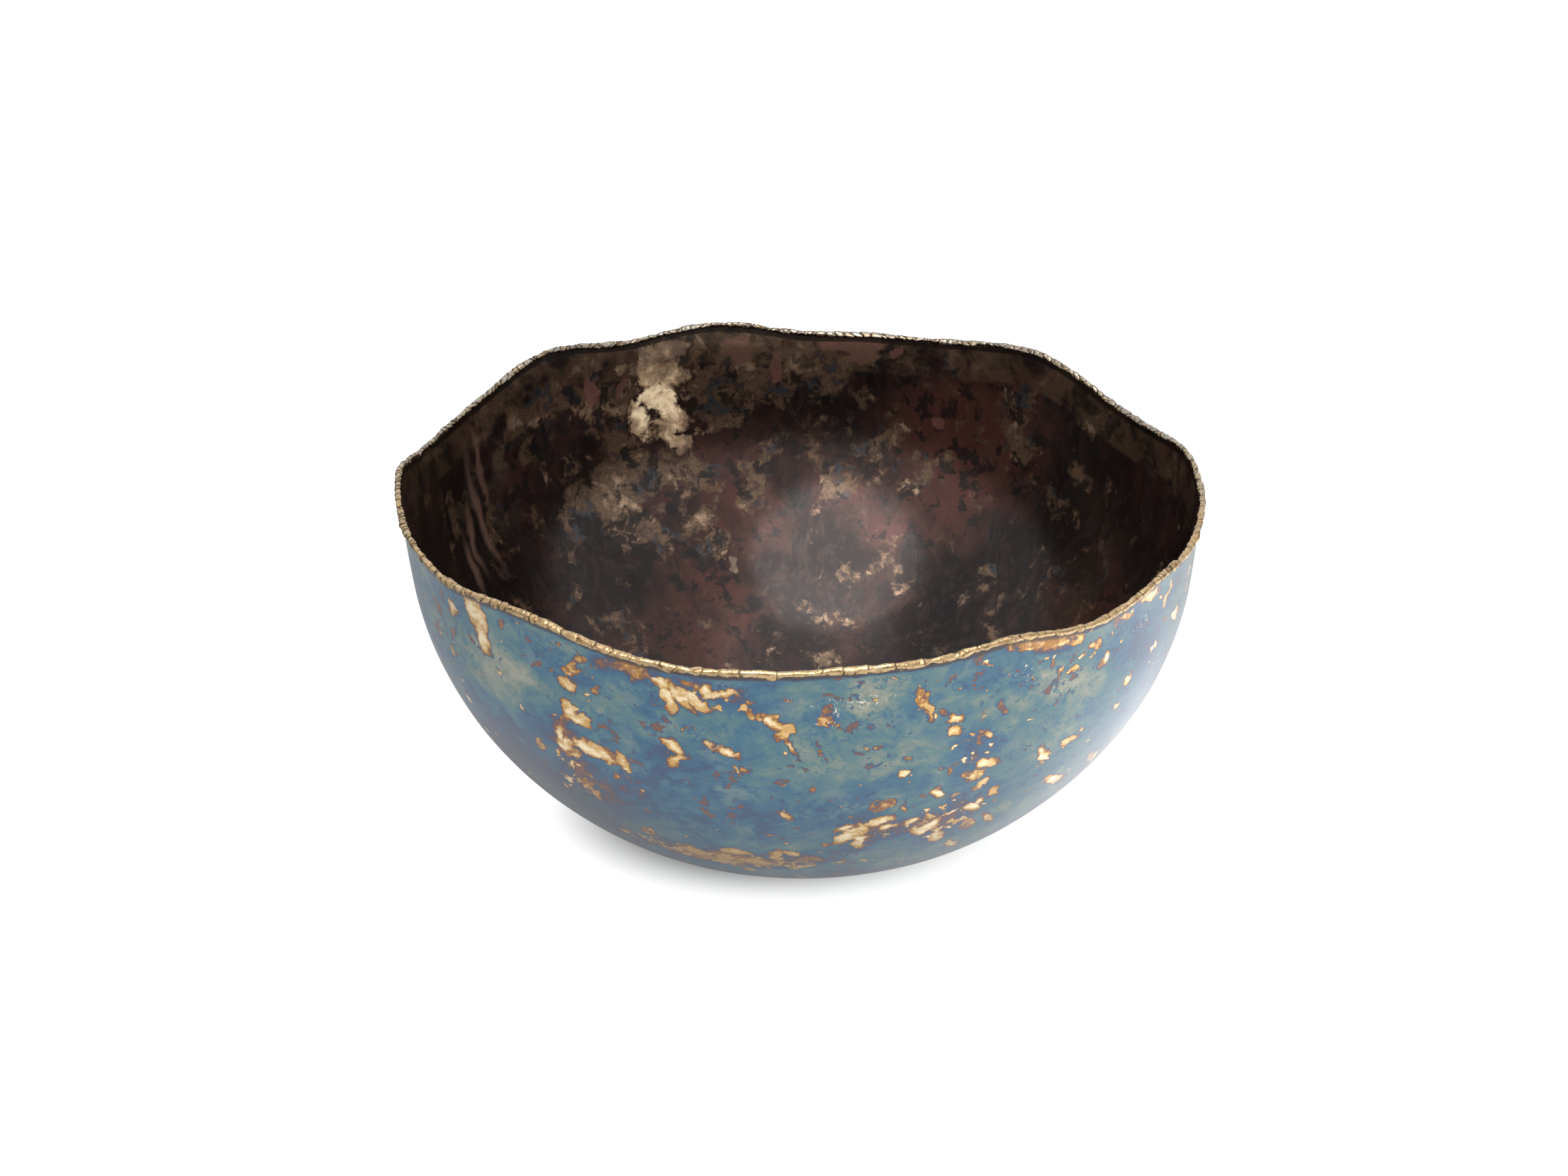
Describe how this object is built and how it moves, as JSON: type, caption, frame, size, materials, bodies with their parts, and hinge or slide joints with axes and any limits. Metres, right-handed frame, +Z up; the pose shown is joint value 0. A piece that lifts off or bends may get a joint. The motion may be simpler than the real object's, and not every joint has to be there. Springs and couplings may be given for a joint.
{
  "type": "metal serving bowl",
  "caption": "Deep round patinated metal bowl with a hand-cut waving edge and a brazed bead running along it.",
  "frame": {"origin": "centre of the flat base, on the face the bowl stands on", "axes": "+Z up, out of the mouth of the bowl; X and Y lie in the surface it stands on"},
  "size_m": [0.2602, 0.2602, 0.1263],
  "materials": {
    "patinated_sheet": "smooth, lacquered, blue-teal heat patina with bare gold patches outside and near-black brown inside",
    "brazed_bead": "polished pale gold, ribbed by the solidified filler drops"
  },
  "bodies": {
    "root": {"bowl_shell": "patinated_sheet", "rim_bead": "brazed_bead"}
  },
  "joints": []
}
